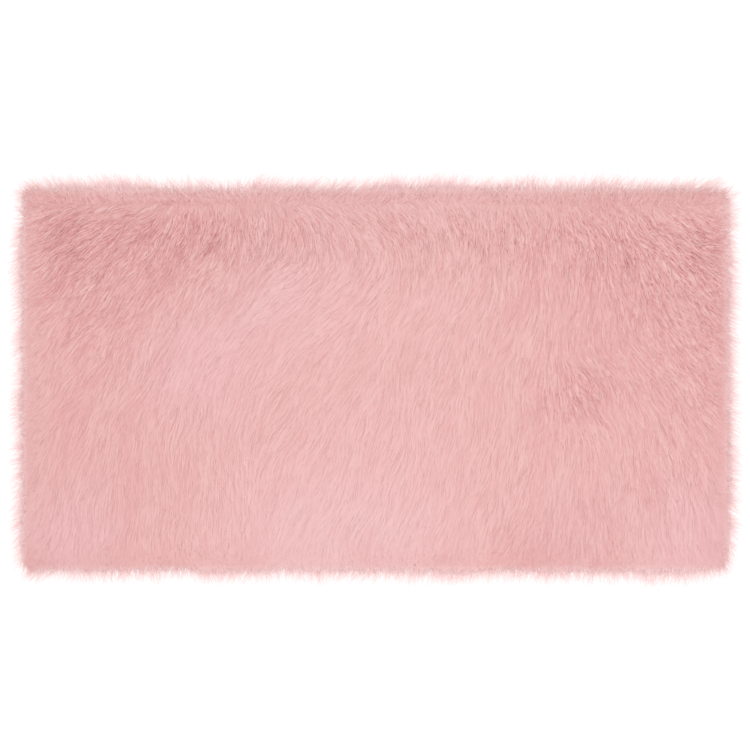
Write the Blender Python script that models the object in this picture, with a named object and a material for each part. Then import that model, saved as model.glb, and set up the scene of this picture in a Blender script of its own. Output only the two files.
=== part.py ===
"""Faux sheepskin rug: one panel of long-pile faux fur, laid flat on the floor.

The rug is one solid. Its top is the pile, a low mound whose lumps run along the way the fur was combed,
and round its rim the fur stands out in separate locks that lie on the floor. The underside is flat.
Metres, +X along the rug's length, +Y across it, +Z up, origin on the floor under the middle.
"""

import math
import random

import bmesh
import bpy
from mathutils import Matrix, Vector, noise

# Driving sizes: the rug over its dense fur, without the locks that stand out from the rim.
RUG_LENGTH = 1.10
RUG_WIDTH = 0.60
PILE_HEIGHT = 0.030

# The rim, where the fur rounds over the cloth's edge and down to the floor.
RIM_HEIGHT = 0.30 * PILE_HEIGHT
SHOULDER_REACH = 1.6 * PILE_HEIGHT
CORNER_RADIUS = 0.047 * RUG_WIDTH
EDGE_WAVE = 0.005
EDGE_WAVE_LENGTH = 0.055

# The lumps of the pile, drawn out along the combed fur.
LUMP_HEIGHT = 0.013
LUMP_WIDTH = 0.042
COMB_STEP = 0.016
COMB_STEPS_EACH_WAY = 3

# The mesh: cells of the top, and the share of rim cells that carry two locks and not one.
COLUMNS = 62
ROWS = 33
TWO_LOCK_SHARE = 0.49

# The locks at the rim. The combing turns them from straight outward, and neighbours bend much alike.
LOCK_LENGTH = 0.015
LOCK_LENGTH_SPREAD = (0.50, 1.30)
LOCK_BEND_DEG = 40
LOCK_BEND_WAVE_LENGTH = 0.045
LOCK_BEND_SPREAD_DEG = 5
COMB_PULL = 0.6
# Sections of a lock: how far along it, and its width and height there as shares of its root's.
LOCK_SECTIONS = (
    # along, width, height
    (0.36, 0.78, 0.72),
    (0.74, 0.42, 0.36),
)

# How the fur was combed: at each place, the heading of the hair's tips in degrees, anticlockwise
# from +X, and how far that stroke of the comb reaches.
COMB_STROKES = (
    # x, y, heading, reach
    (-0.50, 0.24, 217, 0.09),
    (-0.37, 0.25, 210, 0.07),
    (-0.27, 0.23, 248, 0.06),
    (-0.18, 0.23, 270, 0.05),
    (-0.13, 0.28, 320, 0.04),
    (-0.02, 0.26, 320, 0.06),
    (0.09, 0.26, 312, 0.06),
    (-0.06, 0.20, 280, 0.04),
    (0.06, 0.20, 275, 0.05),
    (0.20, 0.24, 275, 0.08),
    (0.33, 0.24, 290, 0.07),
    (0.45, 0.25, 320, 0.06),
    (0.54, 0.21, 335, 0.06),
    (-0.48, 0.10, 230, 0.09),
    (-0.34, 0.10, 246, 0.09),
    (-0.20, 0.12, 222, 0.07),
    (-0.08, 0.13, 212, 0.07),
    (0.04, 0.11, 234, 0.07),
    (0.16, 0.11, 245, 0.08),
    (0.28, 0.12, 260, 0.08),
    (0.38, 0.13, 284, 0.07),
    (0.50, 0.11, 312, 0.08),
    (-0.48, -0.03, 238, 0.09),
    (-0.30, 0.00, 244, 0.10),
    (-0.08, 0.02, 236, 0.09),
    (0.08, -0.01, 264, 0.09),
    (0.20, 0.03, 252, 0.07),
    (0.33, -0.02, 306, 0.07),
    (0.50, -0.01, 306, 0.08),
    (-0.48, -0.18, 252, 0.10),
    (-0.30, -0.14, 272, 0.11),
    (-0.08, -0.14, 246, 0.09),
    (0.10, -0.12, 260, 0.10),
    (0.28, -0.14, 262, 0.10),
    (0.46, -0.14, 286, 0.09),
    (-0.32, -0.26, 267, 0.12),
    (-0.08, -0.25, 246, 0.10),
    (0.16, -0.24, 246, 0.11),
    (0.44, -0.26, 278, 0.11),
)

# A slanted direction, along which no two elements of the mesh lie level.
SORT_DIRECTION = Vector((1.0, 0.0317, 0.2291))

FUR_PINK = (0.81, 0.46, 0.45, 1.0)
FUR_ROUGHNESS = 0.85
SMOOTH_UP_TO_DEG = 50
SEED = 7


def comb_direction(x, y):
    """Which way the tips of the hair at this place point, as a flat unit vector."""
    total = Vector((0.0, -1e-6, 0.0))
    for stroke_x, stroke_y, heading, reach in COMB_STROKES:
        away = math.hypot(x - stroke_x, y - stroke_y) / reach
        angle = math.radians(heading)
        total += math.exp(-away * away) * Vector((math.cos(angle), math.sin(angle), 0.0))
    return total.normalized()


def rim_vector(x, y):
    """From the rug's inner rectangle, which the corner radius rolls round, to this place."""
    inner_x = RUG_LENGTH / 2 - CORNER_RADIUS
    inner_y = RUG_WIDTH / 2 - CORNER_RADIUS
    return Vector((x - max(-inner_x, min(inner_x, x)), y - max(-inner_y, min(inner_y, y)), 0.0))


def inset_from_rim(x, y):
    """How far inside the rug's outline this place is."""
    past = rim_vector(x, y).length
    if past > 0:
        return CORNER_RADIUS - past
    return min(RUG_LENGTH / 2 - abs(x), RUG_WIDTH / 2 - abs(y))


def outward(x, y):
    """The flat direction out of the rug, for a place on its rim."""
    return rim_vector(x, y).normalized()


def on_outline(u, v):
    """Where a point of the square grid, from -1 to 1 each way, lies in the rug's uneven outline."""
    x, y = u * RUG_LENGTH / 2, v * RUG_WIDTH / 2
    corner = rim_vector(x, y)
    across, along = corner.x / CORNER_RADIUS, corner.y / CORNER_RADIUS
    # A square corner is rounded by the formula that maps a square onto a disc.
    x += corner.x * (math.sqrt(1 - along * along / 2) - 1)
    y += corner.y * (math.sqrt(1 - across * across / 2) - 1)
    near_rim = max(0.0, 1 - inset_from_rim(x, y) / SHOULDER_REACH)
    wave = noise.noise(Vector((x, y, 0.0)) / EDGE_WAVE_LENGTH) * EDGE_WAVE * near_rim
    return Vector((x, y, 0.0)) + outward(x, y) * wave


def combed_lump(x, y):
    """Uneven height of the pile, from about -1 to 1, the same all along a combed strand."""
    total = 0.0
    for way in (1, -1):
        spot = Vector((x, y, 0.0))
        for _ in range(COMB_STEPS_EACH_WAY):
            spot = spot + way * COMB_STEP * comb_direction(spot.x, spot.y)
            total += noise.noise(spot / LUMP_WIDTH)
    return total / (2 * COMB_STEPS_EACH_WAY)


def pile_height(x, y):
    """Height of the fur over the floor: a round shoulder at the rim, then the lumpy top."""
    inside = min(1.0, max(0.0, inset_from_rim(x, y) / SHOULDER_REACH))
    shoulder = math.sqrt(1 - (1 - inside) ** 2)
    lump = LUMP_HEIGHT * combed_lump(x, y) * (0.35 + 0.65 * inside)
    return RIM_HEIGHT + (PILE_HEIGHT - RIM_HEIGHT) * shoulder + lump


def make_top(bm, chance):
    """The pile's upper face, with some edges of its rim cut in two, unevenly, for narrower locks."""
    bmesh.ops.create_grid(bm, x_segments=COLUMNS, y_segments=ROWS, size=1.0)
    for edge in [edge for edge in bm.edges if edge.is_boundary]:
        if chance.random() < TWO_LOCK_SHARE:
            bmesh.utils.edge_split(edge, edge.verts[0], chance.uniform(0.35, 0.65))
    for vert in bm.verts:
        vert.co = on_outline(vert.co.x, vert.co.y)
        vert.co.z = pile_height(vert.co.x, vert.co.y)


def place(element):
    """A number to sort a vertex, an edge or a face by, which tells any two places of the rug apart."""
    verts = [element] if isinstance(element, bmesh.types.BMVert) else element.verts
    middle = sum((vert.co for vert in verts), Vector()) / len(verts)
    return middle.dot(SORT_DIRECTION)


def make_rim_and_base(bm):
    """The low wall at the rim, standing on the floor, and the flat underside. Returns the wall's faces."""
    rim = [edge for edge in bm.edges if edge.is_boundary]
    for made in bmesh.ops.extrude_edge_only(bm, edges=rim)["geom"]:
        if isinstance(made, bmesh.types.BMVert):
            made.co.z = 0.0
    # Extruding edges makes the new ones in no fixed order, so all are sorted by where they lie.
    for elements in (bm.verts, bm.edges, bm.faces):
        elements.sort(key=place)
    walls = [face for face in bm.faces if min(vert.co.z for vert in face.verts) == 0]
    bmesh.ops.holes_fill(bm, edges=[edge for edge in bm.edges if edge.is_boundary], sides=0)
    bmesh.ops.recalc_face_normals(bm, faces=bm.faces)
    return walls


def grow_lock(bm, wall, chance):
    """Draws one wall face out into a lock of fur that tapers to a point on the floor."""
    root = wall.calc_center_median()
    root.z = 0.0
    away = outward(root.x, root.y)
    heading = (away + COMB_PULL * comb_direction(root.x, root.y)).normalized()
    length = LOCK_LENGTH * chance.uniform(*LOCK_LENGTH_SPREAD) * heading.dot(away)
    bend = math.radians(
        LOCK_BEND_DEG * noise.noise(root / LOCK_BEND_WAVE_LENGTH)
        + chance.uniform(-LOCK_BEND_SPREAD_DEG, LOCK_BEND_SPREAD_DEG)
    )
    face, centre, width, height = wall, root, 1.0, 1.0
    for along, next_width, next_height in LOCK_SECTIONS:
        face = bmesh.ops.extrude_discrete_faces(bm, faces=[face])["faces"][0]
        next_centre = root + Matrix.Rotation(bend * along, 3, "Z") @ heading * length * along
        for vert in face.verts:
            corner = vert.co - centre
            corner.xy *= next_width / width
            corner.z *= next_height / height
            vert.co = next_centre + corner
        centre, width, height = next_centre, next_width, next_height
    face = bmesh.ops.extrude_discrete_faces(bm, faces=[face])["faces"][0]
    tip = root + Matrix.Rotation(bend, 3, "Z") @ heading * length
    bmesh.ops.pointmerge(bm, verts=face.verts, merge_co=tip)


def centre_on_origin(bm):
    """Moves the rug so that the middle of its box, which the uneven locks shift a little, is the origin."""
    middle = Vector((0.0, 0.0, 0.0))
    for axis in range(2):
        places = [vert.co[axis] for vert in bm.verts]
        middle[axis] = (min(places) + max(places)) / 2
    bmesh.ops.translate(bm, vec=-middle, verts=bm.verts)


def fur_material():
    material = bpy.data.materials.new("pink_faux_fur")
    material.use_nodes = True
    shader = material.node_tree.nodes["Principled BSDF"]
    shader.inputs["Base Color"].default_value = FUR_PINK
    shader.inputs["Roughness"].default_value = FUR_ROUGHNESS
    shader.inputs["Metallic"].default_value = 0.0
    return material


def make_fur_rug():
    chance = random.Random(SEED)
    bm = bmesh.new()
    make_top(bm, chance)
    for wall in make_rim_and_base(bm):
        grow_lock(bm, wall, chance)
    centre_on_origin(bm)
    mesh = bpy.data.meshes.new("fur_rug")
    bm.to_mesh(mesh)
    bm.free()
    mesh.shade_smooth()
    mesh.set_sharp_from_angle(angle=math.radians(SMOOTH_UP_TO_DEG))
    mesh.materials.append(fur_material())
    rug = bpy.data.objects.new("fur_rug", mesh)
    bpy.context.scene.collection.objects.link(rug)
    return rug


for leftover in list(bpy.data.objects):
    bpy.data.objects.remove(leftover)
make_fur_rug()
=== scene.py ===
# %% [markdown]
# # A faux sheepskin rug
#
# The real thing is one panel of faux fur: a knitted ground cloth with a long, fine pile rooted in it,
# combed by hand and laid on the floor. Nothing in it is hard, and nothing moves. So the whole lesson is
# about one question: how do you draw fur with plain meshes, so that it looks right from every side?
#
# The answer has four layers, from the floor up: the ground cloth, a mound of dense underfur, some tens of
# thousands of locks lying the way they were combed, and finer hair over them and out past the rim.
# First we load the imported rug. It fixes the place and the size of everything that follows.

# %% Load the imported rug
import math
from dataclasses import dataclass

import bmesh
import bpy
import numpy as np
from mathutils import Matrix, Vector, noise
from mathutils.bvhtree import BVHTree


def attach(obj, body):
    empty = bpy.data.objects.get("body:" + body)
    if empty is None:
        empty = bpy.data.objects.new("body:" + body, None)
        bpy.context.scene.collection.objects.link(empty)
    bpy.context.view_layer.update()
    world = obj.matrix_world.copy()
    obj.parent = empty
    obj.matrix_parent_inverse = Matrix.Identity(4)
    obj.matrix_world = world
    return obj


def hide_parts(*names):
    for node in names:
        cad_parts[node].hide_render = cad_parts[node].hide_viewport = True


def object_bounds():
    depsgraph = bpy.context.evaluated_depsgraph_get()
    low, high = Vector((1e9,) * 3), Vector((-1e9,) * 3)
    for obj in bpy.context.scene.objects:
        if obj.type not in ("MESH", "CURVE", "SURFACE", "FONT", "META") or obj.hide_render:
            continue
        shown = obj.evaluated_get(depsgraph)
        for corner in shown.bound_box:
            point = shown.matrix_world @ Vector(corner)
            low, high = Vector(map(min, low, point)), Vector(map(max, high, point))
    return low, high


SEED = 7

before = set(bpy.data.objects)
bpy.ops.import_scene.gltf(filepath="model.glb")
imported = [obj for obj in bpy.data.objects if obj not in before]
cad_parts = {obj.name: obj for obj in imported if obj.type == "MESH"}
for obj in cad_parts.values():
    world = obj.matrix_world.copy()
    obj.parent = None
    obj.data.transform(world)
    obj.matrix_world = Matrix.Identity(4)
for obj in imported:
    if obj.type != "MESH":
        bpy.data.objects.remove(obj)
cad_low, cad_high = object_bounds()
chance = np.random.default_rng(SEED)
print(f"The packed rug is {cad_high.x - cad_low.x:.3f} x {cad_high.y - cad_low.y:.3f} m")

# %% [markdown]
# ## The rug's own sizes
#
# Fur is sold by the size of the panel over its pile, so the dense fur is the rug's size. The cloth under
# it is smaller, because the pile leans out past its edge by nearly its own length. The loose wisps reach
# a little further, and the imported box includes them, so the fur's outline is worked out from that box.

# %% Name the rug's sizes
WISP_REACH = 0.019
RUG_HALF_X = cad_high.x - WISP_REACH
RUG_HALF_Y = cad_high.y - WISP_REACH
RUG_CORNER = 0.012
PILE_OVERHANG = 0.020
CLOTH_HALF_X = RUG_HALF_X - PILE_OVERHANG
CLOTH_HALF_Y = RUG_HALF_Y - PILE_OVERHANG
CLOTH_CORNER = 0.010
CLOTH_THICKNESS = 0.0012
print(f"Dense fur {2 * RUG_HALF_X:.3f} x {2 * RUG_HALF_Y:.3f} m")
print(f"Cloth {2 * CLOTH_HALF_X:.3f} x {2 * CLOTH_HALF_Y:.3f} m")

# %% [markdown]
# ## How far in from the edge
#
# Much of what fur does depends on how near the rim it is: there it falls outwards, droops and turns pale.
# So one function tells how far inside a rectangle with round corners any places are, and which way leads
# out of it. In a corner that way runs along the radius, so the hair there will fan out by itself.

# %% Measure from the edge
SMALLEST = 1e-9


def inset(x, y, half_x, half_y, corner):
    """How far inside a rectangle with round corners these places are, and the way out of it."""
    past_x = x - np.clip(x, corner - half_x, half_x - corner)
    past_y = y - np.clip(y, corner - half_y, half_y - corner)
    past = np.hypot(past_x, past_y)
    gap_x, gap_y = half_x - np.abs(x), half_y - np.abs(y)
    nearer_x = (gap_x < gap_y) & (past == 0)
    nearer_y = (gap_x >= gap_y) & (past == 0)
    away_x = np.where(nearer_x, np.sign(x), np.where(nearer_y, 0, past_x))
    away_y = np.where(nearer_y, np.sign(y), np.where(nearer_x, 0, past_y))
    size = np.maximum(np.hypot(away_x, away_y), SMALLEST)
    inside = np.where(past > 0, corner - past, np.minimum(gap_x, gap_y))
    return inside, away_x / size, away_y / size


def inside_rug(x, y):
    """How far these places are inside the end of the dense fur: minus beyond it."""
    return inset(x, y, RUG_HALF_X, RUG_HALF_Y, RUG_CORNER)[0]


def inside_cloth(x, y):
    """How far these places are inside the cloth's edge."""
    return inset(x, y, CLOTH_HALF_X, CLOTH_HALF_Y, CLOTH_CORNER)[0]


print(f"The rug's middle is {inside_rug(np.zeros(1), np.zeros(1))[0]:.3f} m in from the end of its fur")

# %% [markdown]
# ## How high the pile is
#
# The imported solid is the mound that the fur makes. We feel its height from above, like a hand pressed
# down at every few millimetres, and keep the heights in a table. Smoothing the table a little hides the
# facets of the solid. Past the dense fur the solid has only separate locks, but hair there still has to
# come down softly, so the height glides to the floor over two centimetres and doesn't drop at once.
# Everything that grows later asks this table how high it may lie.

# %% Measure the height of the mound
HEIGHT_STEP = 0.004
TABLE_MARGIN = 2 * HEIGHT_STEP
SMOOTHINGS = 3
# Where reading the table stops: a little before its last entry, so there is always a next one to read.
TABLE_END = 1.001
PRESS_FROM = 1.0
# The glide at the rim: how high it starts at the end of the dense fur, and how long it is.
RIM_HEIGHT = 0.009
RIM_GLIDE = 0.020

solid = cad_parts["fur_rug"].data
points = [vert.co for vert in solid.vertices]
mound = BVHTree.FromPolygons(points, [face.vertices for face in solid.polygons])


def table_places(low, high):
    """Where the table's entries lie between these ends of the rug."""
    return np.arange(low - TABLE_MARGIN, high + TABLE_MARGIN + HEIGHT_STEP, HEIGHT_STEP)


def height_at(x, y):
    """Height of the mound at one place, or 0 beside it."""
    hit = mound.ray_cast(Vector((x, y, PRESS_FROM)), Vector((0.0, 0.0, -1.0)))[0]
    return hit.z if hit else 0.0


table_x = table_places(cad_low.x, cad_high.x)
table_y = table_places(cad_low.y, cad_high.y)
heights = np.array([[height_at(x, y) for y in table_y] for x in table_x])
for _ in range(SMOOTHINGS):
    heights[1:-1] = (heights[:-2] + 2 * heights[1:-1] + heights[2:]) / 4
    heights[:, 1:-1] = (heights[:, :-2] + 2 * heights[:, 1:-1] + heights[:, 2:]) / 4


def pile_top(x, y):
    """Height of the pile at any places, read between the four nearest entries of the table."""
    column = np.clip((x - table_x[0]) / HEIGHT_STEP, 0, len(table_x) - TABLE_END)
    row = np.clip((y - table_y[0]) / HEIGHT_STEP, 0, len(table_y) - TABLE_END)
    i, j = column.astype(int), row.astype(int)
    right, up = column - i, row - j
    low = heights[i, j] * (1 - right) + heights[i + 1, j] * right
    high = heights[i, j + 1] * (1 - right) + heights[i + 1, j + 1] * right
    glide = RIM_HEIGHT * np.clip(1 + inside_rug(x, y) / RIM_GLIDE, 0, 1)
    return np.maximum(low * (1 - up) + high * up, glide)


print(f"{heights.size} heights, the highest {heights.max() * 1000:.1f} mm")

# %% [markdown]
# ## The way the fur was combed
#
# Somebody ran a comb over this rug, and every hair still points the way it was left. Each row below is
# one stroke of that comb: where it passed, which way it pulled the tips, and how wide it reached. In
# between, the fur follows the strokes around it, each counting less the further away it is. Two gentle
# noises then let the hair wave as it does in any long pile.

# %% Comb the fur
COMB_STROKES = (
    # x, y, heading, reach
    (-0.50, 0.24, 217, 0.09),
    (-0.37, 0.25, 210, 0.07),
    (-0.355, 0.225, 205, 0.03),
    (-0.315, 0.21, 268, 0.03),
    (-0.27, 0.23, 248, 0.06),
    (-0.18, 0.23, 270, 0.05),
    (-0.13, 0.28, 320, 0.04),
    (-0.02, 0.26, 320, 0.06),
    (0.09, 0.26, 312, 0.06),
    (-0.06, 0.20, 280, 0.04),
    (0.06, 0.20, 275, 0.05),
    (0.20, 0.24, 275, 0.08),
    (0.33, 0.24, 290, 0.07),
    (0.45, 0.25, 320, 0.06),
    (0.54, 0.21, 335, 0.06),
    (-0.48, 0.10, 230, 0.09),
    (-0.34, 0.10, 246, 0.09),
    (-0.20, 0.12, 222, 0.07),
    (-0.08, 0.13, 212, 0.07),
    (0.04, 0.11, 234, 0.07),
    (0.16, 0.11, 245, 0.08),
    (0.28, 0.12, 260, 0.08),
    (0.38, 0.13, 284, 0.07),
    (0.50, 0.11, 312, 0.08),
    (-0.48, -0.03, 238, 0.09),
    (-0.30, 0.00, 244, 0.10),
    (-0.08, 0.02, 236, 0.09),
    (0.08, -0.01, 264, 0.09),
    (0.20, 0.03, 252, 0.07),
    (0.33, -0.02, 306, 0.07),
    (0.50, -0.01, 306, 0.08),
    (-0.48, -0.18, 252, 0.10),
    (-0.30, -0.14, 272, 0.11),
    (-0.08, -0.14, 246, 0.09),
    (0.10, -0.12, 260, 0.10),
    (0.28, -0.14, 262, 0.10),
    (0.46, -0.14, 286, 0.09),
    (-0.32, -0.26, 267, 0.12),
    (-0.08, -0.25, 246, 0.10),
    (0.16, -0.24, 246, 0.11),
    (0.44, -0.26, 278, 0.11),
)
# The waves of the hair: how long each is, and how far it turns the hair.
WAVES = (
    # length in metres, degrees
    (0.060, 22),
    (0.022, 14),
)
# Where no stroke reaches, this small pull lays the hair towards the near side.
LEAST_PULL = 1e-9


def soft_noise(x, y, wavelength, layer):
    """Smooth noise between about -1 and 1 at many places. Another layer gives another pattern."""
    places = zip(x / wavelength, y / wavelength, strict=True)
    return np.array([noise.noise(Vector((u, v, layer))) for u, v in places])


def nearness(x, y, centre_x, centre_y, reach):
    """How near each place is to each of a table's centres: 1 at the centre, fading out at its reach."""
    return np.exp(-((x[:, None] - centre_x) ** 2 + (y[:, None] - centre_y) ** 2) / reach**2)


def combed(x, y):
    """Which way the hair at these places was combed, as the x and y of flat unit vectors."""
    stroke_x, stroke_y, heading, reach = np.array(COMB_STROKES).T
    weight = nearness(x, y, stroke_x, stroke_y, reach)
    pull_x = weight @ np.cos(np.radians(heading))
    pull_y = weight @ np.sin(np.radians(heading)) - LEAST_PULL
    size = np.hypot(pull_x, pull_y)
    return pull_x / size, pull_y / size


print(f"{len(COMB_STROKES)} strokes of the comb")

# %% [markdown]
# ## Ruffles and creases
#
# The comb didn't leave the fur equally smooth. Where it lifted away, mostly along the far side, the locks
# stand apart and each shows its flank: that is a ruffle, and the shade between its locks and the light on
# their tips are painted on as well. In a few small creases two strokes meet, the hair is tangled, one sees
# a little further down into the pile, and that shade is painted deeper. Both are tables of places. Near
# the cloth's edge a ruffle is only painted shade and light, because hair that falls off the edge has
# nothing to stand on.

# %% List the ruffles and the creases
RUFFLES = (
    # x, y, reach, amount
    (-0.47, 0.25, 0.12, 1.2),
    (-0.28, 0.25, 0.10, 1.2),
    (-0.12, 0.25, 0.09, 0.9),
    (0.04, 0.26, 0.09, 1.0),
    (0.19, 0.25, 0.09, 0.9),
    (0.35, 0.24, 0.10, 1.0),
    (0.50, 0.19, 0.12, 1.4),
    (0.50, 0.02, 0.10, 0.7),
    (0.31, -0.01, 0.06, 1.0),
    (0.46, -0.16, 0.08, 0.4),
    (0.30, -0.26, 0.09, 0.4),
    (-0.42, 0.08, 0.09, 0.4),
)
# In a crease the pile also gets painted shade.
CREASES = (
    # x, y, reach
    (-0.345, 0.218, 0.016),
    (-0.250, 0.199, 0.010),
    (-0.336, 0.292, 0.008),
    (0.530, 0.217, 0.018),
    (0.519, -0.258, 0.012),
    (0.336, -0.288, 0.009),
)
# How far inside the cloth's edge the pile stands as full as anywhere.
SETTLED_FROM = 0.030


def ruffled(x, y):
    """How much the comb left the locks apart at these places: 0 where it smoothed them."""
    ruffle_x, ruffle_y, reach, amount = np.array(RUFFLES).T
    return nearness(x, y, ruffle_x, ruffle_y, reach) @ amount


def standing(x, y):
    """How much the locks stand up at these places: as ruffled, but none where they fall off the cloth."""
    return ruffled(x, y) * np.clip(inside_cloth(x, y) / SETTLED_FROM, 0, 1)


def creased(x, y):
    """How much these places lie in a crease, from 0 to 1."""
    return nearness(x, y, *np.array(CREASES).T).max(axis=1)


print(f"{len(RUFFLES)} ruffles, {len(CREASES)} creases")

# %% [markdown]
# ## Patches of painted light and shade, and the pale fringe
#
# Light falls unevenly over fur, and here it is painted into the colour. Where the fur leans towards the
# light it is painted paler, where it leans away it is painted deeper, as all along the near rim, and where
# it was pressed flat a painted sheen makes it a little cooler. Past the dense fur the hairs stand singly
# and let light through, so that light paints the fringe nearly white.

# %% List the patches
# Each patch paints light (paler), shade (deeper, below zero) or a sheen (cooler) onto the fur.
PATCHES = (
    # x, y, reach, paler, cooler
    (-0.52, 0.24, 0.13, -0.4, 0.0),
    (-0.02, 0.26, 0.18, 0.8, 0.0),
    (0.20, 0.27, 0.20, 0.4, 0.0),
    (0.52, 0.20, 0.13, 0.2, 0.1),
    (0.32, 0.14, 0.10, -0.5, 0.0),
    (-0.15, 0.13, 0.09, 0.7, 0.3),
    (-0.28, 0.02, 0.08, 0.1, 0.6),
    (0.02, -0.10, 0.14, 0.3, 0.1),
    (-0.12, -0.25, 0.13, 0.9, 0.3),
    (0.05, -0.26, 0.10, 0.7, 0.2),
    (0.30, -0.24, 0.09, -0.3, 0.3),
    (0.50, -0.24, 0.09, 0.3, 0.6),
    (-0.45, -0.13, 0.13, -0.4, 0.0),
    (-0.47, -0.24, 0.08, 0.0, 0.6),
    (-0.53, -0.28, 0.03, -1.2, 0.0),
    (-0.42, -0.30, 0.04, -1.0, 0.0),
    (-0.31, -0.30, 0.04, -0.7, 0.0),
    (-0.20, -0.30, 0.04, -0.9, 0.0),
    (0.00, -0.30, 0.04, -1.0, 0.0),
    (0.10, -0.30, 0.04, -0.9, 0.0),
    (0.24, -0.29, 0.04, -1.2, 0.0),
    (0.36, -0.30, 0.03, -1.2, 0.0),
    (0.50, -0.30, 0.03, -1.0, 0.0),
)
# The fringe's painted light: how far inside the end of the dense fur it starts to turn pale, and over what
# width.
FRINGE_START = 0.015
FRINGE_WIDTH = 0.020


def painted_light_and_shade(x, y):
    """How much painted light makes the fur paler (1), or painted shade deeper (-1), at these places; a
    crease gets painted shade.
    """
    patch_x, patch_y, reach, paler, _ = np.array(PATCHES).T
    return nearness(x, y, patch_x, patch_y, reach) @ paler - creased(x, y)


def painted_sheen(x, y):
    """How much cooler a painted sheen makes the fur at these places, from 0 to 1."""
    patch_x, patch_y, reach, _, cooler = np.array(PATCHES).T
    return nearness(x, y, patch_x, patch_y, reach) @ cooler


def fringed(x, y):
    """How far out in the fringe these places are, and so how much of its painted light they get: 0 on the
    rug, 1 past the end of the dense fur.
    """
    share = np.clip((FRINGE_START - inside_rug(x, y)) / FRINGE_WIDTH, 0, 1)
    return share * share * (3 - 2 * share)


print(f"{len(PATCHES)} patches, and a fringe {FRINGE_WIDTH * 1000:.0f} mm wide")

# %% [markdown]
# ## One lock
#
# A lock of fur is thin at its root, fuller in the middle, and it runs out to a point. A sphere with only
# three meridians is just that once it is stretched: a closed spindle with three sides and fewer than
# twenty triangles. It is cheap enough to repeat tens of thousands of times. We make it once with an
# operator and keep what the fur needs from it: on which ring each corner lies, where on the section,
# whether it is low on the lock's flank, and the faces.

# %% Make the pattern of a lock
# A corner nearer to the axis than this is a pole.
POLE_RADIUS = 1e-3


class LockPattern:
    """A three-sided spindle with a number of steps from root to tip."""

    def __init__(self, steps):
        self.steps = steps
        bm = bmesh.new()
        bmesh.ops.create_uvsphere(bm, u_segments=3, v_segments=steps, radius=1.0)
        bmesh.ops.rotate(bm, verts=bm.verts, cent=(0, 0, 0), matrix=Matrix.Rotation(math.pi / 2, 3, "Z"))
        corners = np.array([vert.co for vert in bm.verts])
        slope = np.arccos(np.clip(-corners[:, 2], -1, 1))
        self.ring = np.rint(slope / math.pi * steps).astype(int)
        radius = np.maximum(np.hypot(corners[:, 0], corners[:, 1]), POLE_RADIUS)
        self.section = corners[:, :2] / radius[:, None]
        self.section[(self.ring == 0) | (self.ring == steps)] = 0
        self.flank = np.where(self.section[:, 1] < 0, 1.0, 0.0)
        # The operator leaves the faces in no fixed order.
        faces = sorted(bm.faces, key=lambda face: [vert.index for vert in face.verts])
        self.loops = np.concatenate([[vert.index for vert in face.verts] for face in faces])
        self.totals = np.array([len(face.verts) for face in faces])
        self.around = np.concatenate([self.angles(face) for face in faces])
        self.triangles = (self.totals - 2).sum()
        bm.free()

    @staticmethod
    def angles(face):
        """How far round the lock each corner of a face is, from 0 to 1. A pole takes the face's middle."""
        middle = face.calc_center_median()
        facing = math.atan2(middle.y, middle.x) % math.tau
        turns = []
        for vert in face.verts:
            turn = 0.0
            if math.hypot(vert.co.x, vert.co.y) > POLE_RADIUS:
                turn = math.remainder(math.atan2(vert.co.y, vert.co.x) - facing, math.tau)
            turns.append((facing + turn) / math.tau)
        return turns


FULL_LOCK = LockPattern(steps=4)
FINE_HAIR = LockPattern(steps=3)
print(f"A lock has {FULL_LOCK.triangles} triangles and a fine hair {FINE_HAIR.triangles}")

# %% [markdown]
# ## Kinds of hair
#
# The fur has a few kinds of hair that differ only in their numbers: how long, how wide, how far they
# stray. So one small class holds those numbers, and one function will grow any kind.

# %% Describe a kind of hair


@dataclass
class Hair:
    """One kind of hair. Each pair is a range, from least to most."""

    pattern: LockPattern
    length: tuple  # metres
    width: tuple  # metres
    stray: float  # degrees from the way it was combed
    sink: tuple  # how deep its root is, as a share of the pile
    layer: tuple  # metres that its tip lies over the mound
    droop: tuple  # how far its tip hangs to the floor, from 0 to 1
    reach: tuple  # metres past the dense fur where it ends at the latest
    turn_band: float  # metres from the cloth's edge within which hair falls outwards
    combed_in: float  # share of it that stays as it was combed even there


LOCKS = Hair(
    FULL_LOCK,
    length=(0.026, 0.044),
    width=(0.0016, 0.0034),
    stray=4,
    sink=(0.0, 0.02),
    layer=(-0.00014, 0.00014),
    droop=(0.0, 0.3),
    reach=(-0.010, 0.005),
    turn_band=0.010,
    combed_in=0.35,
)
RIM_LOCKS = Hair(
    FULL_LOCK,
    length=(0.036, 0.052),
    width=(0.0012, 0.0022),
    stray=10,
    sink=(0.0, 0.01),
    layer=(0.0, 0.0003),
    droop=(0.0, 0.5),
    reach=(-0.014, 0.007),
    turn_band=0.020,
    combed_in=0.15,
)
WISPS = Hair(
    FINE_HAIR,
    length=(0.044, 0.074),
    width=(0.0004, 0.0009),
    stray=11,
    sink=(0.0, 0.02),
    layer=(0.0, 0.0003),
    droop=(0.0, 0.6),
    reach=(-0.002, 0.028),
    turn_band=0.030,
    combed_in=0.10,
)
GUARD_HAIR = Hair(
    FINE_HAIR,
    length=(0.034, 0.052),
    width=(0.0006, 0.0010),
    stray=8,
    sink=(0.0, 0.02),
    layer=(0.0, 0.0008),
    droop=(0.0, 0.3),
    reach=(0.002, 0.016),
    turn_band=0.010,
    combed_in=0.35,
)
print(f"Locks are {LOCKS.length[0] * 1000:.0f} to {LOCKS.length[1] * 1000:.0f} mm long")
print(f"Wisps at the rim are {WISPS.length[0] * 1000:.0f} to {WISPS.length[1] * 1000:.0f} mm long")

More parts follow.
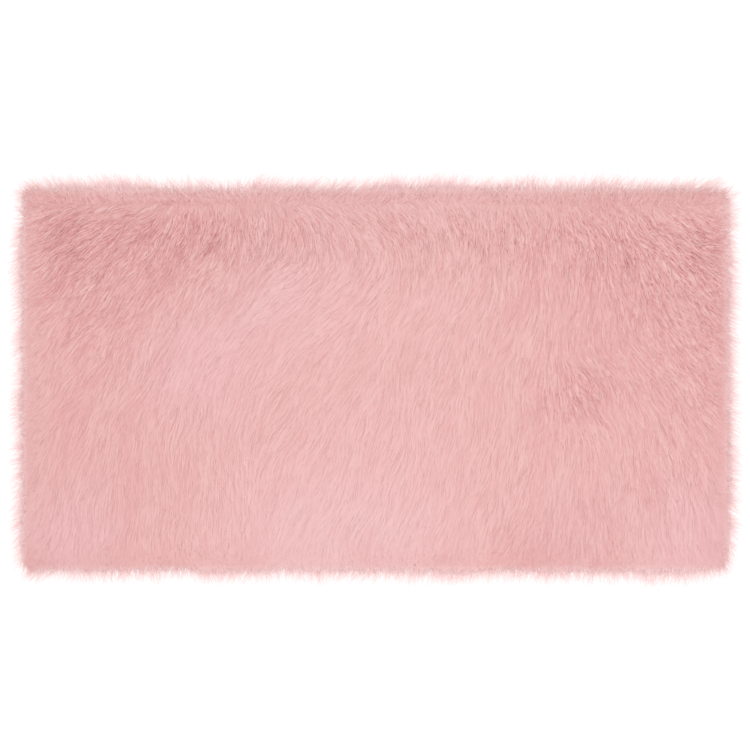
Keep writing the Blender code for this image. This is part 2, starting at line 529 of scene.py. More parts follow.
# %% [markdown]
# ## Which way a lock falls
#
# A lock is rooted in the cloth, leans over the way it was combed, and lies on the mound of its
# neighbours. Along the cloth's edge there is nothing to lean on, so much of the hair falls outwards there,
# even against the comb, and along the far side that makes a soft parting just inside the rim. Elsewhere
# the comb's way simply bends outwards as the hair comes near the rim, and at the corners it fans out.

# %% Turn the hair outwards at the rim
# How hard hair is drawn outwards, where the comb pulls with 1: hair that turned, and hair that was combed.
TURN_PULL = 2.2
FALL_PULL = 0.9
# How far inside the dense fur the comb's way starts to bend outwards.
FALL_BAND = 0.050
# Hair that was combed along the rim bends out a little too, and hair combed inwards doesn't.
FALL_SIDEWAYS = 0.3
# The corner radius round which hair fans out.
FAN_CORNER = 0.070
# From this share of its length on, a curl turns a lock the other way.
CURL_MIDDLE = 0.3
# Layers of the noise for the waves, the parting and the tufts.
WAVE_LAYER, PARTING_LAYER, TUFT_LAYER = 3.7, 5.3, 9.1


def way_at(x, y, turned):
    """Which way hair grows on at these places: combed, but drawn outwards near the rim."""
    way_x, way_y = combed(x, y)
    out_x, out_y = inset(x, y, RUG_HALF_X, RUG_HALF_Y, FAN_CORNER)[1:]
    outwards = np.clip(way_x * out_x + way_y * out_y + FALL_SIDEWAYS, 0, 1)
    fall = FALL_PULL * np.clip(1 - inside_rug(x, y) / FALL_BAND, 0, 1) * outwards
    pull = np.where(turned, TURN_PULL, fall)
    return way_x + pull * out_x, way_y + pull * out_y


def flat_line(x, y, length, stray, curl, turned, steps):
    """Places along hairs rooted at x, y, as an array of point, axis and strand."""
    line = [(x, y)]
    for step in range(steps):
        at_x, at_y = line[-1]
        turn = stray + curl * (step / steps - CURL_MIDDLE)
        for number, (wavelength, degrees) in enumerate(WAVES):
            turn = turn + np.radians(degrees) * soft_noise(at_x, at_y, wavelength, WAVE_LAYER * number)
        way_x, way_y = way_at(at_x, at_y, turned)
        heading = np.arctan2(way_y, way_x) + turn
        line.append((at_x + length / steps * np.cos(heading), at_y + length / steps * np.sin(heading)))
    return np.array(line)


print(f"The comb's way bends outwards over the last {FALL_BAND * 1000:.0f} mm")

# %% [markdown]
# ## No line at the parting
#
# If all hair turned at the same distance from the edge, a straight seam would show there. So chance
# decides for each lock whether it turned, more often near the edge, some locks stay as they were combed
# even there, and the parting itself waves. Hair also leans this way and that before it comes to light,
# so its roots are shifted at random, and no row of them shows along the edge.

# %% Part the hair
# How far the parting waves, and how long its waves are.
PARTING_WAVE = 0.006
PARTING_WAVELENGTH = 0.045
# How far a root may be shifted, inwards (minus) or outwards, and how much more that is for combed hair.
ROOT_SHIFT = (-0.008, 0.011)
COMBED_SHIFT = 1.7


def part(x, y, hair):
    """Which hair rooted at these places turned outwards, and where its roots come to light."""
    edge, out_x, out_y = inset(x, y, CLOTH_HALF_X, CLOTH_HALF_Y, CLOTH_CORNER)
    parting = PARTING_WAVE * (1 + soft_noise(x, y, PARTING_WAVELENGTH, PARTING_LAYER))
    share = np.minimum(1 - (edge - parting) / hair.turn_band, 1 - hair.combed_in)
    turned = chance.random(len(x)) < share
    shift = chance.uniform(*ROOT_SHIFT, len(x)) * np.clip(1 - edge / SETTLED_FROM, 0, 1)
    shift *= np.where(turned, 1.0, COMBED_SHIFT)
    return turned, x + shift * out_x, y + shift * out_y


print(f"The parting waves by up to {2 * PARTING_WAVE * 1000:.0f} mm")

# %% [markdown]
# ## Where a lock ends and how high it lies
#
# The rim of a fur is cut, then brushed out, so it ends in tufts and not in a line. Here each hair gets a
# reach that a noise makes longer or shorter in turn, and hair that comes out further is cut back. Then
# every point of it is lifted onto the pile: the root sunk in a little, and past the rim the tip drooping
# to the floor.

# %% Lay the centre lines
# The tufts at the rim: how far apart they are, and how much further they reach.
TUFTS = (
    # apart, reach
    (0.060, 0.010),
    (0.013, 0.016),
)
MOST_REACH = 0.029
# Hair that comes out too far is cut this often, by this much more than it is too long, and down to this
# share of its length at most.
CUTS = 2
CUT_MORE = 1.15
CUT_LEAST = 0.3
CURL_DEG = 7
# How much more hair strays, sinks in or rises where it turned, in a crease and in a ruffle.
TURNED_STRAY = 1.6
CREASE_STRAY = 5.0
CREASE_SINK = 0.10
RUFFLE_STRAY = 0.8
RUFFLE_RISE = 3.0
RUFFLE_SINK = 1.0
# How far inside the end of the dense fur the tips start to droop.
DROOP_BAND = 0.008
# How much of its layer's height hair already has at its root.
ROOT_LAYER = 0.3


def reach_of(x, y, hair):
    """How far past the dense fur each hair rooted at these places may come."""
    reach = chance.uniform(*hair.reach, len(x))
    for number, (apart, further) in enumerate(TUFTS):
        reach += further * soft_noise(x, y, apart, TUFT_LAYER + number)
    return np.minimum(reach, MOST_REACH)


def lay_lines(x, y, hair):
    """Centre lines of this kind of hair rooted at x, y, as an array of strand, point and axis."""
    count, steps = len(x), hair.pattern.steps
    turned, x, y = part(x, y, hair)
    crease, ruffle = creased(x, y), standing(x, y)
    stray = np.radians(hair.stray) * chance.normal(0, 1, count)
    stray *= np.where(turned, TURNED_STRAY, 1.0) + CREASE_STRAY * crease + RUFFLE_STRAY * ruffle
    curl = np.radians(chance.normal(0, CURL_DEG, count))
    length = chance.uniform(*hair.length, count)
    reach = reach_of(x, y, hair)
    line = flat_line(x, y, length, stray, curl, turned, steps)
    for _ in range(CUTS):
        past = -reach - inside_rug(*line[-1])
        cut = np.maximum(length - CUT_MORE * past, CUT_LEAST * length)
        length = np.where(past > 0, cut, length)
        line = flat_line(x, y, length, stray, curl, turned, steps)
    flat_x, flat_y = line[:, 0].T, line[:, 1].T
    along = np.linspace(0, 1, steps + 1)
    sink = chance.uniform(*hair.sink, count) * (1 + RUFFLE_SINK * ruffle) + CREASE_SINK * crease
    hanging = np.clip(1 - inside_rug(flat_x, flat_y) / DROOP_BAND, 0, 1)
    droop = chance.uniform(*hair.droop, count)[:, None] * hanging
    top = pile_top(flat_x, flat_y) * (1 - sink[:, None] * (1 - along) ** 2) * (1 - droop)
    layer = chance.uniform(*hair.layer, count) * (1 + RUFFLE_RISE * ruffle)
    lift = layer[:, None] * (ROOT_LAYER + (1 - ROOT_LAYER) * along)
    return np.stack([flat_x, flat_y, top + lift], axis=-1)


print(f"No hair reaches more than {MOST_REACH * 1000:.0f} mm past the dense fur")

# %% [markdown]
# ## From lines to fur
#
# Now the pattern is put on every line at once. For each corner we know its ring, so we know the point of
# the line it belongs to, and we push it sideways and upwards from there. Doing this for whole arrays
# takes a second, where a loop over locks would take minutes.

# %% Put the pattern on the lines
LOCK_FLATNESS = 0.10
RUFFLE_FULLNESS = 2.0
FLOOR_CLEARANCE = 0.0003
# How wide a lock is along its length, as a share of its full width.
LOCK_OUTLINE = (
    # along, width
    (0.0, 0.75),
    (0.5, 1.00),
    (1.0, 0.45),
)


def unit(arrows):
    """The same directions at length 1."""
    return arrows / np.linalg.norm(arrows, axis=2, keepdims=True)


def corners_on(lines, width, pattern):
    """Where the pattern's corners lie on every line, as an array of strand, corner and axis."""
    ruffle = standing(lines[:, 0, 0], lines[:, 0, 1])
    height = width * LOCK_FLATNESS * (1 + RUFFLE_FULLNESS * ruffle)
    ahead = unit(np.gradient(lines, axis=1))
    side = unit(np.cross((0.0, 0.0, 1.0), ahead))
    up = np.cross(ahead, side)
    ring = pattern.ring
    share = np.interp(ring / pattern.steps, *np.array(LOCK_OUTLINE).T)[:, None]
    sideways = side[:, ring] * pattern.section[:, 0, None] * share * width[:, None, None] / 2
    upwards = up[:, ring] * pattern.section[:, 1, None] * share * height[:, None, None]
    corners = lines[:, ring] + sideways + upwards
    # A lock that would dip into the floor is lifted as a whole, so its section stays whole.
    corners[..., 2] += np.maximum(FLOOR_CLEARANCE - corners[..., 2].min(axis=1), 0)[:, None]
    return corners


def mesh_of(name, corners, pattern):
    """One mesh with the pattern's faces on every strand's corners."""
    count, size = corners.shape[:2]
    loops, totals = pattern.loops, pattern.totals
    starts = np.concatenate([[0], np.cumsum(totals)[:-1]])
    strand = np.arange(count)[:, None]
    mesh = bpy.data.meshes.new(name)
    mesh.vertices.add(count * size)
    mesh.vertices.foreach_set("co", corners.ravel())
    mesh.loops.add(count * len(loops))
    mesh.loops.foreach_set("vertex_index", (strand * size + loops).ravel())
    mesh.polygons.add(count * len(totals))
    mesh.polygons.foreach_set("loop_start", (strand * len(loops) + starts).ravel())
    mesh.update()
    return mesh


print(f"A lock is a ribbon, its back {LOCK_FLATNESS:.2f} of its width high")

# %% [markdown]
# ## What each strand knows about itself
#
# A material can only colour what the mesh tells it. So each corner carries how far along its lock it is,
# whether it is on the flank, its lock's own shade, and how pale, cool, ruffled or fringed its place is,
# which sets the painted light, shade and sheen it gets.
# One UV map runs once along each lock, shifted for each, so the pattern of single hairs follows the lock
# and no two locks look alike. The other gives each lock a small cell of its own.

# %% Give the strands their traits
# How far apart two locks lie in the pattern of hairs, round the lock and along it.
HAIR_SHIFT = (7, 31)
CELL_MARGIN = 0.12
LOCK_EDGE_DEG = 75


def give(mesh, name, values):
    """Adds an attribute with one number for each vertex."""
    mesh.attributes.new(name, "FLOAT", "POINT").data.foreach_set("value", values.ravel())


def give_patches(mesh, x, y):
    """Adds how pale, cool and ruffled the fur is painted at each vertex, all painted light, shade and
    sheen, and where it lies at the rim.
    """
    give(mesh, "paler", painted_light_and_shade(x, y))
    give(mesh, "cooler", painted_sheen(x, y))
    give(mesh, "ruffle", ruffled(x, y))
    give(mesh, "fringe", fringed(x, y))


def give_maps(mesh, shade, pattern):
    """Adds the map of the hairs on each strand, and the map that gives each strand a small cell of its
    own.
    """
    around, along = pattern.around, pattern.ring[pattern.loops] / pattern.steps
    shift = shade[:, None]
    hairs = np.stack([around + shift * HAIR_SHIFT[0], along + shift * HAIR_SHIFT[1]], axis=-1)
    mesh.uv_layers.new(name="hair_map").uv.foreach_set("vector", hairs.ravel())
    cells = math.ceil(math.sqrt(len(shade)))
    strand = np.arange(len(shade))
    cell = np.stack([strand % cells, strand // cells], axis=-1)[:, None]
    inside = CELL_MARGIN + (1 - 2 * CELL_MARGIN) * np.stack([around, along], axis=-1)
    mesh.uv_layers.new(name="OFBake").uv.foreach_set("vector", ((cell + inside) / cells).ravel())
    mesh.uv_layers["hair_map"].active_render = True


def clothe(name, lines, width, shade, pattern):
    """One piece with the pattern laid along every line. Returns its object."""
    count, ring = len(lines), pattern.ring
    mesh = mesh_of(name, corners_on(lines, width, pattern), pattern)
    give(mesh, "along", np.tile(ring / pattern.steps, count))
    give(mesh, "flank", np.tile(pattern.flank, count))
    give(mesh, "shade", np.repeat(shade, len(ring)))
    give_patches(mesh, lines[:, ring, 0].ravel(), lines[:, ring, 1].ravel())
    give_maps(mesh, shade, pattern)
    mesh.shade_smooth()
    mesh.set_sharp_from_angle(angle=math.radians(LOCK_EDGE_DEG))
    piece = bpy.data.objects.new(name, mesh)
    bpy.context.scene.collection.objects.link(piece)
    print(f"{name}: {count} strands, {count * pattern.triangles} triangles")
    return piece


print(f"Edges sharper than {LOCK_EDGE_DEG} degrees stay sharp")

# %% [markdown]
# ## Materials
#
# Shader maths reads best as maths. The small class below wraps an output socket, so that a line such as
# `1 - mask * 0.3` adds its own nodes. The other class holds one material while it is being made.

# %% Wrap the shader nodes


class Wire:
    """An output of a shader node. Arithmetic on it adds Math nodes."""

    def __init__(self, look, socket):
        self.look = look
        self.socket = socket

    def maths(self, operation, first, second):
        """One Math node that works on these two values or wires."""
        return self.look.node("ShaderNodeMath", {"operation": operation}, {0: first, 1: second})

    def __add__(self, other):
        return self.maths("ADD", self, other)

    def __radd__(self, other):
        return self.maths("ADD", other, self)

    def __sub__(self, other):
        return self.maths("SUBTRACT", self, other)

    def __rsub__(self, other):
        return self.maths("SUBTRACT", other, self)

    def __mul__(self, other):
        return self.maths("MULTIPLY", self, other)

    def __rmul__(self, other):
        return self.maths("MULTIPLY", other, self)

    def __pow__(self, other):
        return self.maths("POWER", self, other)

    def __rpow__(self, other):
        return self.maths("POWER", other, self)


class Look:
    """A material with a Principled shader. Sockets given by name hold over the whole surface."""

    def __init__(self, name, fixed):
        self.material = bpy.data.materials.new(name)
        self.material.use_nodes = True
        self.tree = self.material.node_tree
        self.shader = self.tree.nodes["Principled BSDF"]
        for socket, value in fixed.items():
            self.shader.inputs[socket].default_value = value

    def feed(self, socket, value):
        """Links a wire to this socket, or sets the socket to a plain value."""
        if isinstance(value, Wire):
            self.tree.links.new(value.socket, socket)
        else:
            socket.default_value = value

    def node(self, kind, settings=None, values=None, output=0):
        """Adds a node of this kind, set up and fed, and returns one of its outputs."""
        made = self.tree.nodes.new(kind)
        for name, value in (settings or {}).items():
            setattr(made, name, value)
        for name, value in (values or {}).items():
            self.feed(made.inputs[name], value)
        return Wire(self, made.outputs[output])

    def attribute(self, name):
        """A number that the mesh carries on each of its corners."""
        return self.node("ShaderNodeAttribute", {"attribute_name": name}, output="Fac")

    def mix(self, share, first, second):
        """One colour turning into another as share goes from 0 to 1."""
        return self.node("ShaderNodeMix", {"data_type": "RGBA"}, {0: share, 6: first, 7: second}, output=2)

    def surface(self, **values):
        """Feeds the Principled shader's sockets that vary over the surface."""
        for name, value in values.items():
            self.feed(self.shader.inputs[name.replace("_", " ")], value)
        return self.material


# %% [markdown]
# ## The pink of the fur
#
# Dyed acrylic fur is matt, with a faint bloom where light catches the strands. Deep in the pile it looks
# warmer and darker, because light has bounced from strand to strand, and that shade is painted on the
# roots;
# at the tips painted light makes it pale, more on some locks than others. Two locks side by side are never
# quite the same pink, single hairs show as fine lines along a lock, and painted shade makes its flank
# darker than its back. The colour is mixed from all of these, then the painted light and shade of the
# patches, the ruffles and last the fringe are laid over it, so that nothing dulls the pale rim.

# %% Name the fur's colours
# The painted shade between the locks of a ruffle.
CREASE_SHADE_PINK = (0.58, 0.22, 0.23, 1.0)
DEEP_PINK = (0.725, 0.37, 0.36, 1.0)
PINK = (0.812, 0.475, 0.465, 1.0)
PALE_PINK = (0.842, 0.56, 0.55, 1.0)
COOL_PINK = (0.83, 0.51, 0.55, 1.0)
# The painted light of the fringe, where single hairs let light through.
FRINGE_LIT_PINK = (1.0, 0.745, 0.735, 1.0)
FUR_FINISH = {
    "Roughness": 0.6,
    "Specular IOR Level": 0.25,
    "Sheen Weight": 0.15,
    "Sheen Roughness": 0.4,
    "Sheen Tint": (1.0, 0.85, 0.86, 1.0),
}
# How far a patch turns the pink: paler with painted light, deeper with painted shade where its number is
# below zero, and cooler with a painted sheen.
PALER_LIGHT_SHARE, DEEPER_SHADE_SHARE, COOLER_SHEEN_SHARE = 0.45, -0.5, 0.6
# How much deeper the painted shade makes a root, and how much paler painted light makes the tip of the
# palest lock, and more so in a ruffle.
ROOT_SHADE_SHARE = 0.5
TIP_LIGHT_SHARE, RUFFLED_TIP_SHARE = 0.6, 0.4
# How the root's painted shade fades along a lock, and the flank's painted shade towards the lock's back.
ROOT_SHADE_FADE, FLANK_SHADE_FADE = 0.8, 2.0
# The pattern of single hairs, round a lock and along it.
HAIR_SCALE = (10.0, 2.5, 1.0)
# The middle of the shades and of the hairs' pattern, at which neither changes the pink.
MIDDLE = 0.5
# How strongly single hairs and a lock's shade make the pink deeper, and how strongly the painted shade on
# its flank does.
HAIR_DEPTH, SHADE_DEPTH, FLANK_SHADE_DEPTH = 4.4, 0.7, 0.8
# The same for the painted shade between the locks of a ruffle, and the lock's shade from which it shows
# less of that painted shade.
HAIR_CREASE, SHADE_CREASE, FLANK_CREASE = 5.5, 0.5, 1.3
CREASE_MIDDLE = 0.4
print(f"The fur runs from {DEEP_PINK[:3]} to {PALE_PINK[:3]}")

# %% Mix the fur's look


def with_painted_light_and_shade(look, colour):
    """The colour with the patches' painted light, shade and sheen laid over it: paler, deeper and cooler
    fur.
    """
    paler = look.attribute("paler")
    colour = look.mix(paler * PALER_LIGHT_SHARE, colour, PALE_PINK)
    colour = look.mix(paler * DEEPER_SHADE_SHARE, colour, DEEP_PINK)
    return look.mix(look.attribute("cooler") * COOLER_SHEEN_SHARE, colour, COOL_PINK)


def fur_look():
    look = Look("fur_pink", FUR_FINISH)
    along, shade = look.attribute("along"), look.attribute("shade")
    hair_map = look.node("ShaderNodeUVMap", {"uv_map": "hair_map"})
    stretched = look.node("ShaderNodeMapping", values={"Vector": hair_map, "Scale": HAIR_SCALE})
    hairs = look.node("ShaderNodeTexNoise", values={"Vector": stretched, "Scale": 1.0, "Detail": 2.0})
    ruffle = look.attribute("ruffle")
    flank = look.attribute("flank") ** FLANK_SHADE_FADE
    # Painted shade at the root, and painted light at the tip that varies at random from lock to lock.
    colour = look.mix((1 - along**ROOT_SHADE_FADE) * ROOT_SHADE_SHARE, PINK, DEEP_PINK)
    colour = look.mix(shade * (TIP_LIGHT_SHARE + ruffle * RUFFLED_TIP_SHARE) * along, colour, PALE_PINK)
    # Single hairs and each lock's shade vary the pink at random, and painted shade darkens the flank.
    deeper = (MIDDLE - hairs) * HAIR_DEPTH + (MIDDLE - shade) * SHADE_DEPTH + flank * FLANK_SHADE_DEPTH
    colour = with_painted_light_and_shade(look, look.mix(deeper, colour, DEEP_PINK))
    # Painted shade between the locks of a ruffle, along their flanks and varied by single hairs.
    crease = flank * FLANK_CREASE + (CREASE_MIDDLE - shade) * SHADE_CREASE
    crease += (MIDDLE - hairs) * HAIR_CREASE
    colour = look.mix(ruffle * crease, colour, CREASE_SHADE_PINK)
    # Last the fringe's painted light.
    colour = look.mix(look.attribute("fringe"), colour, FRINGE_LIT_PINK)
    bump = look.node("ShaderNodeBump", values={"Height": hairs, "Strength": 0.25, "Distance": 0.0004})
    return look.surface(Base_Color=colour, Roughness=0.5 + 0.25 * hairs, Normal=bump)


fur_pink = fur_look()
print(f"{fur_pink.name} has {len(fur_pink.node_tree.nodes)} nodes")

# %% [markdown]
# ## The underfur
#
# Under the locks the pile is too dense to see into. A low mound of the same pink stands for it, just
# under the top of the pile, and closes every gap between the locks. A grid is the right start: its rim is
# rounded at the corners by the formula that turns a square into a disc, then it is lifted to the pile.

# %% Start with a rounded grid
UNDERFUR_CELL = 0.006
# How far inside the dense fur it ends.
UNDERFUR_INSET = 0.010
UNDERFUR_HALF_X = RUG_HALF_X - UNDERFUR_INSET
UNDERFUR_HALF_Y = RUG_HALF_Y - UNDERFUR_INSET


def rounded_place(u, v, half_x, half_y, corner):
    """Where a point of the square grid, from -1 to 1 each way, lies in a rectangle with round corners."""
    x, y = u * half_x, v * half_y
    past_x = x - max(corner - half_x, min(half_x - corner, x))
    past_y = y - max(corner - half_y, min(half_y - corner, y))
    x += past_x * (math.sqrt(1 - (past_y / corner) ** 2 / 2) - 1)
    y += past_y * (math.sqrt(1 - (past_x / corner) ** 2 / 2) - 1)
    return x, y


def rounded_grid(half_x, half_y, corner, cell):
    """A flat grid in the outline of a rectangle with round corners."""
    bm = bmesh.new()
    columns, rows = round(2 * half_x / cell), round(2 * half_y / cell)
    bmesh.ops.create_grid(bm, x_segments=columns, y_segments=rows, size=1.0)
    for vert in bm.verts:
        vert.co.x, vert.co.y = rounded_place(vert.co.x, vert.co.y, half_x, half_y, corner)
    return bm


print(f"The underfur is {2 * UNDERFUR_HALF_X:.3f} x {2 * UNDERFUR_HALF_Y:.3f} m")

# %% [markdown]
# Seen through a gap, the underfur should pass for more strands. So it gets the fur's own pinks, the
# painted light and shade of its patches and fringe, mottled finely by a noise that is also its bump.

# %% Mix the underfur's look
STRAND_SCALE = 260.0


def underfur_look():
    look = Look("underfur_pink", FUR_FINISH)
    place = look.node("ShaderNodeTexCoord", output="Object")
    values = {"Vector": place, "Scale": STRAND_SCALE, "Detail": 3.0}
    strands = look.node("ShaderNodeTexNoise", values=values)
    # The patches' painted light, shade and sheen, as on the locks.
    colour = with_painted_light_and_shade(look, look.mix(strands, DEEP_PINK, PINK))
    # The fringe's painted light here too.
    colour = look.mix(look.attribute("fringe"), colour, FRINGE_LIT_PINK)
    bump = look.node("ShaderNodeBump", values={"Height": strands, "Strength": 0.6, "Distance": 0.002})
    return look.surface(Base_Color=colour, Roughness=0.55 + 0.2 * strands, Normal=bump)


underfur_pink = underfur_look()
print(f"{underfur_pink.name} has {len(underfur_pink.node_tree.nodes)} nodes")

# %% [markdown]
# The grid is lifted to the pile, its rim is drawn down to just over the cloth, and a single face closes
# it from below. Extruding leaves the new parts in no fixed order, so they are sorted by where they lie.

# %% Model the underfur
# How far under the top of the pile it lies: this deep, and as this share of the pile's height.
UNDERFUR_DEPTH = 0.0001
UNDERFUR_SHARE = 0.993
# How far in from its rim its shoulder rolls up.
UNDERFUR_ROLL = 0.006
# Its flat underside just over the cloth, and the least height of its top.
UNDERFUR_BASE = CLOTH_THICKNESS + 0.001
UNDERFUR_LOWEST = CLOTH_THICKNESS + 0.002
# A slanted direction, along which no two elements of the mesh lie level.
SORT_DIRECTION = Vector((1.0, 0.0317, 0.2291))


def finished(bm, name, material):
    """The bmesh as a smooth object with this material."""
    mesh = bpy.data.meshes.new(name)
    bm.to_mesh(mesh)
    bm.free()
    mesh.shade_smooth()
    mesh.materials.append(material)
    piece = bpy.data.objects.new(name, mesh)
    bpy.context.scene.collection.objects.link(piece)
    print(f"{name}: {len(mesh.polygons)} faces")
    return piece


def sort_by_place(bm):
    """Puts the mesh's elements in one fixed order."""

    def place(element):
        verts = [element] if isinstance(element, bmesh.types.BMVert) else element.verts
        middle = sum((vert.co for vert in verts), Vector()) / len(verts)
        return middle.dot(SORT_DIRECTION)

    for elements in (bm.verts, bm.edges, bm.faces):
        elements.sort(key=place)


def make_underfur():
    bm = rounded_grid(UNDERFUR_HALF_X, UNDERFUR_HALF_Y, RUG_CORNER, UNDERFUR_CELL)
    x, y = np.array([vert.co.xy for vert in bm.verts]).T
    edge = inset(x, y, UNDERFUR_HALF_X, UNDERFUR_HALF_Y, RUG_CORNER)[0]
    roll = np.sqrt(1 - (1 - np.clip(edge / UNDERFUR_ROLL, 0, 1)) ** 2)
    tops = pile_top(x, y) * UNDERFUR_SHARE * roll - UNDERFUR_DEPTH
    for vert, top in zip(bm.verts, tops, strict=True):
        vert.co.z = max(top, UNDERFUR_LOWEST)
    rim = [edge for edge in bm.edges if edge.is_boundary]
    for made in bmesh.ops.extrude_edge_only(bm, edges=rim)["geom"]:
        if isinstance(made, bmesh.types.BMVert):
            made.co.z = UNDERFUR_BASE
    sort_by_place(bm)
    bmesh.ops.holes_fill(bm, edges=[edge for edge in bm.edges if edge.is_boundary], sides=0)
    bmesh.ops.recalc_face_normals(bm, faces=bm.faces)
    piece = finished(bm, "underfur", underfur_pink)
    x, y = np.array([vert.co.xy for vert in piece.data.vertices]).T
    give_patches(piece.data, x, y)
    return piece


underfur = make_underfur()
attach(underfur, "root")
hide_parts("fur_rug")

# %% [markdown]
# ## The locks
#
# The roots are set out like plants in a nursery, one in each small square, but anywhere in it, so no
# rows show. The whole rug would be one mesh too heavy to handle, so it is cut into three pieces.

# %% Grow the locks
LOCK_PITCH = 0.0045
RUFFLE_WIDTH = 0.8


def scatter(pitch, low_x, high_x, strip=math.inf):
    """Places on the cloth, one in each square of this pitch, as far in from its edge as the strip goes."""
    columns = round((high_x - low_x) / pitch)
    rows = round(2 * CLOTH_HALF_Y / pitch)
    column, row = np.meshgrid(np.arange(columns), np.arange(rows), indexing="ij")
    x = low_x + (column + chance.random(column.shape)) * (high_x - low_x) / columns
    y = -CLOTH_HALF_Y + (row + chance.random(row.shape)) * 2 * CLOTH_HALF_Y / rows
    x, y = x.ravel(), y.ravel()
    edge = inside_cloth(x, y)
    kept = (edge >= 0) & (edge < strip)
    return x[kept], y[kept]


def grow(name, places, hair):
    """One piece of pile: this kind of hair, rooted at these places."""
    lines = lay_lines(*places, hair)
    wider = 1 + RUFFLE_WIDTH * standing(lines[:, 0, 0], lines[:, 0, 1])
    width = chance.uniform(*hair.width, len(lines)) * wider
    piece = clothe(name, lines, width, chance.random(len(lines)), hair.pattern)
    piece.data.materials.append(fur_pink)
    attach(piece, "root")
    return piece


THIRD = 2 * CLOTH_HALF_X / 3
pile = [
    grow("locks_left", scatter(LOCK_PITCH, -CLOTH_HALF_X, THIRD - CLOTH_HALF_X), LOCKS),
    grow("locks_middle", scatter(LOCK_PITCH, -THIRD / 2, THIRD / 2), LOCKS),
    grow("locks_right", scatter(LOCK_PITCH, CLOTH_HALF_X - THIRD, CLOTH_HALF_X), LOCKS),
]

# %% [markdown]
# ## The rim
#
# All the hair that shows past the cloth's edge is rooted in its last centimetre or so, so that strip is
# planted once more, much closer. First come locks that carry the pile down to the floor, then hair so
# fine that it fades out into the air, which is what makes a fur edge look soft.

# %% Grow the rim
RIM_LOCK_STRIP, RIM_LOCK_COUNT = 0.012, 7500
WISP_STRIP, WISP_COUNT = 0.010, 16000


def rim_places(strip, count):
    """About this many places in the strip along the cloth's edge."""
    area = strip * 4 * (CLOTH_HALF_X + CLOTH_HALF_Y - strip)
    return scatter(math.sqrt(area / count), -CLOTH_HALF_X, CLOTH_HALF_X, strip)


pile.append(grow("rim_locks", rim_places(RIM_LOCK_STRIP, RIM_LOCK_COUNT), RIM_LOCKS))
pile.append(grow("rim_wisps", rim_places(WISP_STRIP, WISP_COUNT), WISPS))

# %% [markdown]
# ## Guard hair
#
# On top lie single hairs that strayed from their locks. They are too thin to be seen one by one from
# above, but they break up the locks' edges, and from low down they are the fuzz against the light.

# %% Grow the guard hair
GUARD_PITCH = 0.0100

pile.append(grow("guard_hair", scatter(GUARD_PITCH, -CLOTH_HALF_X, CLOTH_HALF_X), GUARD_HAIR))

# %% [markdown]
# ## The ground cloth
#
# Turn the rug over and you see what holds the hair: a fine knitted cloth, cut a little smaller than the
# fur looks from above. It is a thin sheet, so it is made as one: a flat grid with its corners bevelled
# round, given its thickness by a modifier. Ribs and rows of stitches are two waves that cross.

# %% Mix the knitted look
STITCH = 0.0022
# How many stitches a wave of the pattern takes up, and how uneven it is.
RIB_STITCHES, RIB_UNEVENNESS = 2.0, 1.5
ROW_STITCHES, ROW_UNEVENNESS = 2.6, 1.0
# How deep a row cuts into a rib.
ROW_DEPTH = 0.6
CLOTH_PINK = (0.70, 0.43, 0.42, 1.0)
CLOTH_SHADOW = (0.50, 0.26, 0.26, 1.0)


def knit_wave(look, place, direction, stitches, unevenness):
    """Lines of stitches that follow one another in this direction."""
    values = {"Vector": place, "Scale": 1 / STITCH / stitches, "Distortion": unevenness}
    values["Detail Scale"] = 2.0
    return look.node("ShaderNodeTexWave", {"bands_direction": direction}, values, output="Fac")


def knit_look():
    look = Look("knitted_ground", {"Roughness": 0.9, "Specular IOR Level": 0.2})
    place = look.node("ShaderNodeTexCoord", output="Object")
    ribs = knit_wave(look, place, "X", RIB_STITCHES, RIB_UNEVENNESS)
    rows = knit_wave(look, place, "Y", ROW_STITCHES, ROW_UNEVENNESS)
    loops = ribs * (1 - ROW_DEPTH + ROW_DEPTH * rows)
    colour = look.mix(loops, CLOTH_SHADOW, CLOTH_PINK)
    bump = look.node("ShaderNodeBump", values={"Height": loops, "Strength": 0.7, "Distance": 0.0006})
    return look.surface(Base_Color=colour, Roughness=0.95 - 0.1 * loops, Normal=bump)


print(f"{1 / STITCH / 1000:.2f} stitches to the millimetre")

# %% Cut the ground cloth
CLOTH_COLUMNS, CLOTH_ROWS = 42, 22
CORNER_STEPS = 6


def make_ground_cloth():
    bm = bmesh.new()
    bmesh.ops.create_grid(bm, x_segments=CLOTH_COLUMNS, y_segments=CLOTH_ROWS, size=1.0)
    bmesh.ops.scale(bm, vec=(CLOTH_HALF_X, CLOTH_HALF_Y, 1.0), verts=bm.verts)
    bmesh.ops.bevel(
        bm,
        geom=[vert for vert in bm.verts if len(vert.link_faces) == 1],
        offset=CLOTH_CORNER,
        segments=CORNER_STEPS,
        profile=0.5,
        affect="VERTICES",
        material=-1,
    )
    bmesh.ops.translate(bm, vec=(0.0, 0.0, FLOOR_CLEARANCE), verts=bm.verts)
    cloth = finished(bm, "ground_cloth", knit_look())
    thick = cloth.modifiers.new("thickness", "SOLIDIFY")
    thick.thickness = CLOTH_THICKNESS
    thick.offset = 1.0
    return cloth


ground_cloth = make_ground_cloth()
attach(ground_cloth, "root")

# %% [markdown]
# ## Floor, light and camera
#
# A plain pale floor, a bright even sky and one large lamp. The lamp stands off to the near side, so the
# strands get a light flank and a soft dark one, and the near half of the rug is a touch brighter. The
# floor glows a little itself, so it stays plain right up to the fur.

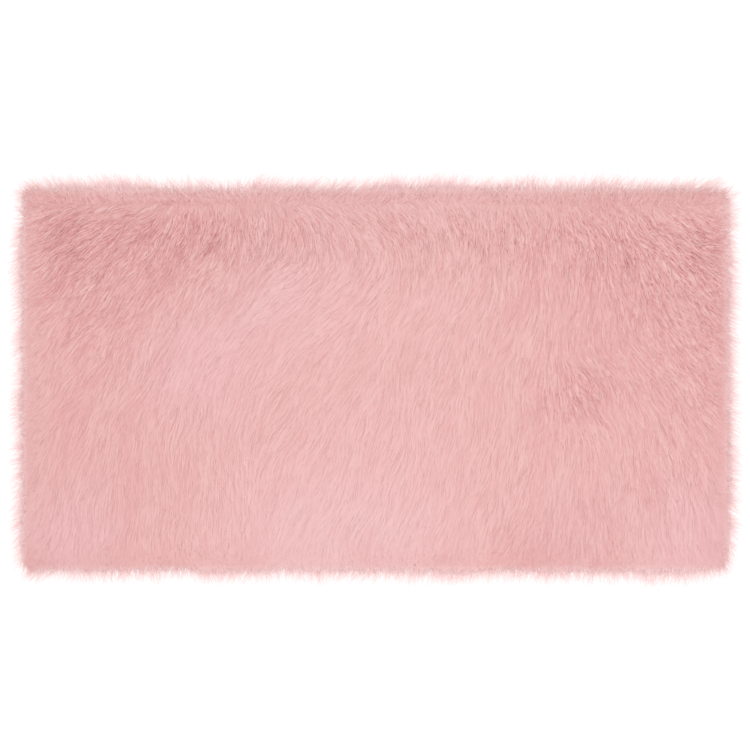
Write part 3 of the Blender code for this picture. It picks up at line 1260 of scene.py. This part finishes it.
# %% Set the stage
FLOOR_HALF = 6.0
FLOOR_GREY = (0.25, 0.25, 0.25, 1.0)
FLOOR_GLOW = 0.78
WHITE = (1.0, 1.0, 1.0, 1.0)
SKY_STRENGTH = 0.97
LAMP_PLACE = (0.25, -0.3, 2.7)
LAMP_SIZE = 1.6
LAMP_WATTS = 12
CAMERA_LENS_MM = 85
SENSOR_MM = 36
VIEW_WIDTH = 1.160
VIEW_CENTRE = (-0.0010, 0.0070)


def make_floor():
    bm = bmesh.new()
    bmesh.ops.create_grid(bm, x_segments=1, y_segments=1, size=FLOOR_HALF)
    finish = {"Base Color": FLOOR_GREY, "Roughness": 0.9, "Specular IOR Level": 0.1}
    finish |= {"Emission Color": WHITE, "Emission Strength": FLOOR_GLOW}
    floor = finished(bm, "floor", Look("pale_floor", finish).material)


def light_studio():
    world = bpy.data.worlds.new("studio")
    bpy.context.scene.world = world
    world.use_nodes = True
    sky = world.node_tree.nodes["Background"]
    sky.inputs["Color"].default_value = WHITE
    sky.inputs["Strength"].default_value = SKY_STRENGTH
    lamp = bpy.data.lights.new("softbox", "AREA")
    lamp.size = LAMP_SIZE
    lamp.energy = LAMP_WATTS
    holder = bpy.data.objects.new("softbox", lamp)
    holder.location = LAMP_PLACE
    holder.rotation_euler = (-Vector(LAMP_PLACE)).to_track_quat("-Z", "Y").to_euler()
    bpy.context.scene.collection.objects.link(holder)


def place_camera():
    lens = bpy.data.cameras.new("camera")
    lens.lens = CAMERA_LENS_MM
    lens.sensor_width = SENSOR_MM
    distance = VIEW_WIDTH * CAMERA_LENS_MM / SENSOR_MM
    camera = bpy.data.objects.new("camera", lens)
    camera.location = (*VIEW_CENTRE, cad_high.z / 2 + distance)
    bpy.context.scene.collection.objects.link(camera)
    bpy.context.scene.camera = camera
    print(f"The camera looks straight down from {distance:.2f} m")


make_floor()
light_studio()
place_camera()
bpy.context.scene.view_settings.view_transform = "Standard"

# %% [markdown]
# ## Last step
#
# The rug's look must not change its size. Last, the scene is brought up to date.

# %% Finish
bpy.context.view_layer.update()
